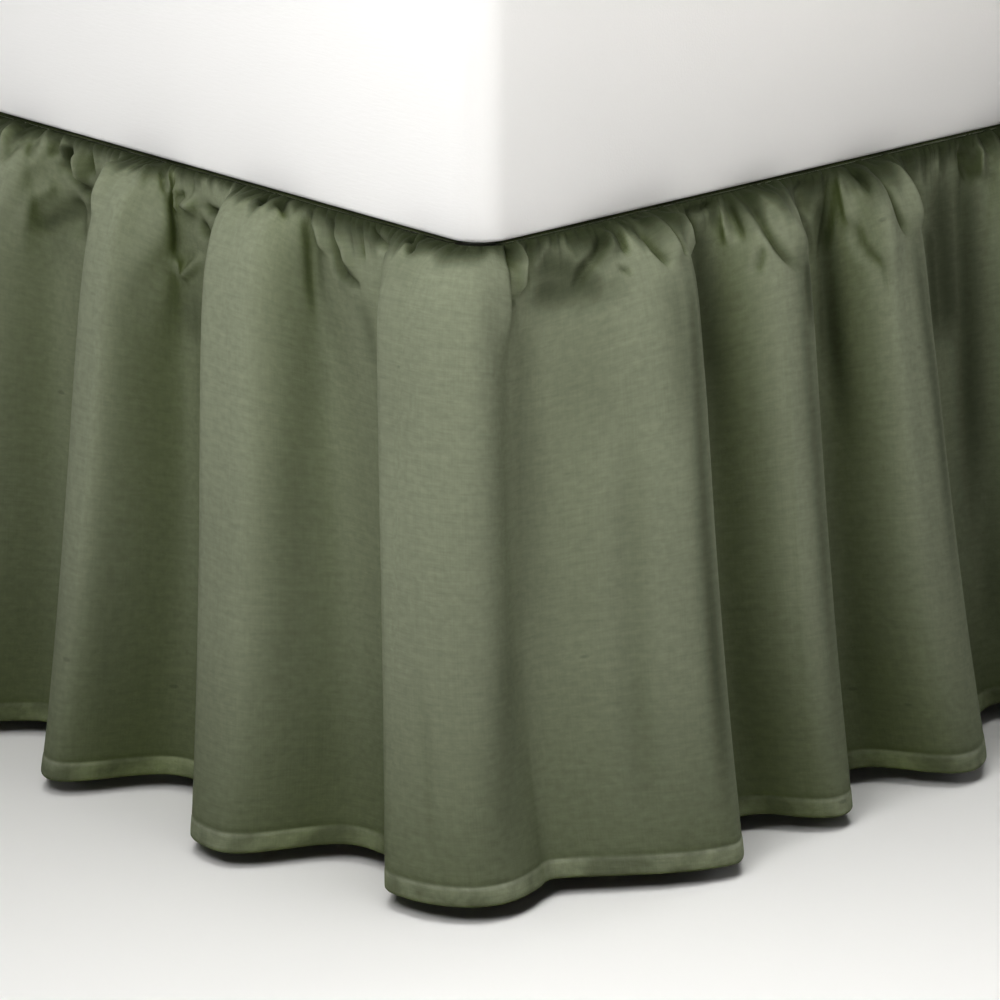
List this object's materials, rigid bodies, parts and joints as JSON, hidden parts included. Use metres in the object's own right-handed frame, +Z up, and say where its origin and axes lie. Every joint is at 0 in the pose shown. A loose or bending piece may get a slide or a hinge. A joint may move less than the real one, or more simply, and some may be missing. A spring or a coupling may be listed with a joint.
{
  "type": "bed skirt on a single bed base with mattress",
  "caption": "Gathered bed skirt hanging in folds from its deck cloth between a plain mattress and bed base",
  "frame": {"origin": "on the floor, under the middle of the whole object's box; the bed itself stands 44 mm towards +Y because the skirt reaches out past the foot and not past the head", "axes": "+Y from the foot to the open head end, +X to the right as seen from the foot, +Z up"},
  "size_m": [1.1605, 1.9941, 0.6424],
  "materials": {
    "skirt_cloth": "matt plain-woven poly-cotton, olive green",
    "mattress_cover": "matt white cotton",
    "base_cover": "pale grey ticking",
    "leg_wood": "oiled beech"
  },
  "bodies": {
    "root": {"mattress": "mattress_cover", "bed_base": "base_cover", "leg_foot_left": "leg_wood", "leg_foot_right": "leg_wood", "leg_middle_left": "leg_wood", "leg_middle_right": "leg_wood", "leg_head_left": "leg_wood", "leg_head_right": "leg_wood", "skirt_deck": "skirt_cloth", "ruffle_foot": "skirt_cloth", "ruffle_left": "skirt_cloth", "ruffle_right": "skirt_cloth"}
  },
  "joints": []
}
